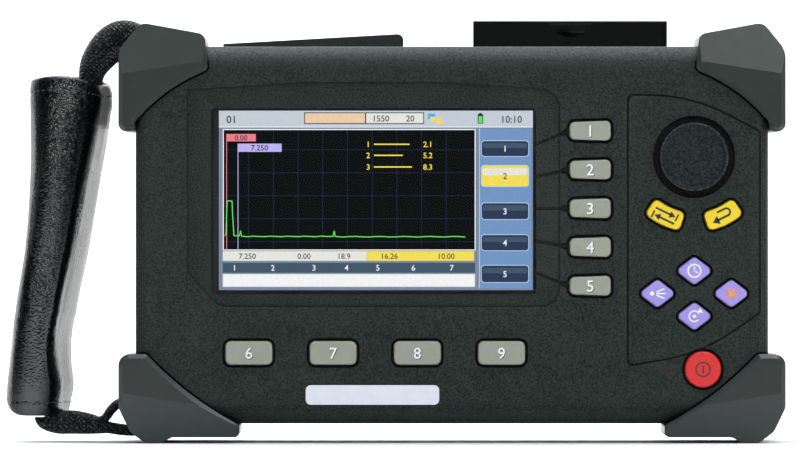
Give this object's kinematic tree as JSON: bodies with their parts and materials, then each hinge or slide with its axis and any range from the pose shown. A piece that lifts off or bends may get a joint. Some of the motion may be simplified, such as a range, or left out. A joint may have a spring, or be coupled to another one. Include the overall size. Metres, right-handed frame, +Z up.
{
  "type": "optical time domain reflectometer",
  "caption": "Hand-held fibre tester with a colour display, keypad, jog dial, rubber corner bumpers, covered ports on top, a fold-out stand and a padded hand strap.",
  "frame": {"origin": "centre of the bounding box's bottom face, on the surface that the lower bumpers stand on", "axes": "+X to the right as seen from the front, +Y from the display towards the back, +Z up"},
  "size_m": [0.2752, 0.071, 0.1495],
  "materials": {
    "casing_plastic": "finely textured black ABS",
    "bumper_rubber": "satin dark grey rubber",
    "key_grey": "warm grey key cap with plain numerals",
    "key_yellow": "yellow key cap",
    "key_purple": "lilac key cap",
    "key_red": "red key cap with a power symbol",
    "screen_glass": "clear display window",
    "display": null,
    "dial_plastic": "fine matte black",
    "gloss_black": "glossy black moulding",
    "soft_rubber": "matte black silicone",
    "plate": "bare cream label plate",
    "board": "green circuit board",
    "steel": "zinc-plated steel",
    "nickel": "nickel-plated brass",
    "module_case": "folded aluminium case",
    "battery_wrap": "wrapped battery pack",
    "lamp": "unlit indicator lamp",
    "leather": "pebbled black leather",
    "webbing": "black woven webbing"
  },
  "bodies": {
    "case": {"battery_door": "casing_plastic", "battery_pack": "battery_wrap", "bumper_bottom_left": "bumper_rubber", "bumper_bottom_right": "bumper_rubber", "bumper_top_left": "bumper_rubber", "bumper_top_right": "bumper_rubber", "case_screw_1": "steel", "case_screw_2": "steel", "case_screw_3": "steel", "case_screw_4": "steel", "door_screw_left": "steel", "door_screw_right": "steel", "encoder_body": "casing_plastic", "fault_locator_port": "nickel", "front_casing": "casing_plastic", "grip_pad": "leather", "keypad_board": "board", "keypad_membrane": "soft_rubber", "lcd_lens": "screen_glass", "lcd_module": "display", "lid_hinge_pin": "steel", "main_board": "board", "name_plate": "plate", "network_socket": "nickel", "optical_module": "module_case", "otdr_port": "nickel", "port_bay": "gloss_black", "power_jack": "casing_plastic", "rear_casing": "casing_plastic", "stand_pin_left": "steel", "stand_pin_right": "steel", "status_led": "lamp", "strap_bar_bottom": "steel", "strap_bar_top": "steel", "strap_webbing_bottom": "webbing", "strap_webbing_top": "webbing", "usb_socket": "nickel"},
    "key_soft_1": {"key_soft_1": "key_grey"},
    "key_soft_2": {"key_soft_2": "key_grey"},
    "key_soft_3": {"key_soft_3": "key_grey"},
    "key_soft_4": {"key_soft_4": "key_grey"},
    "key_soft_5": {"key_soft_5": "key_grey"},
    "key_menu": {"key_menu": "key_grey"},
    "key_file": {"key_file": "key_grey"},
    "key_setup": {"key_setup": "key_grey"},
    "key_result": {"key_result": "key_grey"},
    "key_tab": {"key_tab": "key_yellow"},
    "key_escape": {"key_escape": "key_yellow"},
    "key_real_time": {"key_real_time": "key_purple"},
    "key_auto": {"key_auto": "key_purple"},
    "key_light_source": {"key_light_source": "key_purple"},
    "key_test": {"key_test": "key_purple"},
    "key_power": {"key_power": "key_red"},
    "dial": {"dial_knob": "dial_plastic", "encoder_shaft": "steel", "encoder_rotor": "steel"},
    "port_lid": {"port_lid": "gloss_black"},
    "rubber_flap": {"rubber_flap": "soft_rubber"},
    "fold_out_stand": {"fold_out_stand": "casing_plastic"}
  },
  "joints": [
    {"name": "key_soft_1_press", "type": "slide", "parent": "case", "child": "key_soft_1", "axis": [0, 1, 0], "range_m": [0, 0.0009], "stiffness_N_per_m": 600, "springref_m": -0.0006},
    {"name": "key_soft_2_press", "type": "slide", "parent": "case", "child": "key_soft_2", "axis": [0, 1, 0], "range_m": [0, 0.0009], "stiffness_N_per_m": 600, "springref_m": -0.0006},
    {"name": "key_soft_3_press", "type": "slide", "parent": "case", "child": "key_soft_3", "axis": [0, 1, 0], "range_m": [0, 0.0009], "stiffness_N_per_m": 600, "springref_m": -0.0006},
    {"name": "key_soft_4_press", "type": "slide", "parent": "case", "child": "key_soft_4", "axis": [0, 1, 0], "range_m": [0, 0.0009], "stiffness_N_per_m": 600, "springref_m": -0.0006},
    {"name": "key_soft_5_press", "type": "slide", "parent": "case", "child": "key_soft_5", "axis": [0, 1, 0], "range_m": [0, 0.0009], "stiffness_N_per_m": 600, "springref_m": -0.0006},
    {"name": "key_menu_press", "type": "slide", "parent": "case", "child": "key_menu", "axis": [0, 1, 0], "range_m": [0, 0.0009], "stiffness_N_per_m": 600, "springref_m": -0.0006},
    {"name": "key_file_press", "type": "slide", "parent": "case", "child": "key_file", "axis": [0, 1, 0], "range_m": [0, 0.0009], "stiffness_N_per_m": 600, "springref_m": -0.0006},
    {"name": "key_setup_press", "type": "slide", "parent": "case", "child": "key_setup", "axis": [0, 1, 0], "range_m": [0, 0.0009], "stiffness_N_per_m": 600, "springref_m": -0.0006},
    {"name": "key_result_press", "type": "slide", "parent": "case", "child": "key_result", "axis": [0, 1, 0], "range_m": [0, 0.0009], "stiffness_N_per_m": 600, "springref_m": -0.0006},
    {"name": "key_tab_press", "type": "slide", "parent": "case", "child": "key_tab", "axis": [0, 1, 0], "range_m": [0, 0.0009], "stiffness_N_per_m": 600, "springref_m": -0.0006},
    {"name": "key_escape_press", "type": "slide", "parent": "case", "child": "key_escape", "axis": [0, 1, 0], "range_m": [0, 0.0009], "stiffness_N_per_m": 600, "springref_m": -0.0006},
    {"name": "key_real_time_press", "type": "slide", "parent": "case", "child": "key_real_time", "axis": [0, 1, 0], "range_m": [0, 0.0009], "stiffness_N_per_m": 600, "springref_m": -0.0006},
    {"name": "key_auto_press", "type": "slide", "parent": "case", "child": "key_auto", "axis": [0, 1, 0], "range_m": [0, 0.0009], "stiffness_N_per_m": 600, "springref_m": -0.0006},
    {"name": "key_light_source_press", "type": "slide", "parent": "case", "child": "key_light_source", "axis": [0, 1, 0], "range_m": [0, 0.0009], "stiffness_N_per_m": 600, "springref_m": -0.0006},
    {"name": "key_test_press", "type": "slide", "parent": "case", "child": "key_test", "axis": [0, 1, 0], "range_m": [0, 0.0009], "stiffness_N_per_m": 600, "springref_m": -0.0006},
    {"name": "key_power_press", "type": "slide", "parent": "case", "child": "key_power", "axis": [0, 1, 0], "range_m": [0, 0.0009], "stiffness_N_per_m": 600, "springref_m": -0.0006},
    {"name": "dial_turn", "type": "hinge", "parent": "case", "child": "dial", "pos_m": [0.10545, -0.032, 0.1008], "axis": [0, 1, 0], "continuous": true},
    {"name": "port_lid_hinge", "type": "hinge", "parent": "case", "child": "port_lid", "pos_m": [0.06245, 0.0131, 0.1373], "axis": [1, 0, 0], "range_deg": [0, 90]},
    {"name": "rubber_flap_hinge", "type": "hinge", "parent": "case", "child": "rubber_flap", "pos_m": [-0.06075, 0, 0.1404], "axis": [0, -1, 0], "range_deg": [0, 110]},
    {"name": "stand_hinge", "type": "hinge", "parent": "case", "child": "fold_out_stand", "pos_m": [0.02025, 0.03355, 0.104], "axis": [1, 0, 0], "range_deg": [0, 40]}
  ]
}
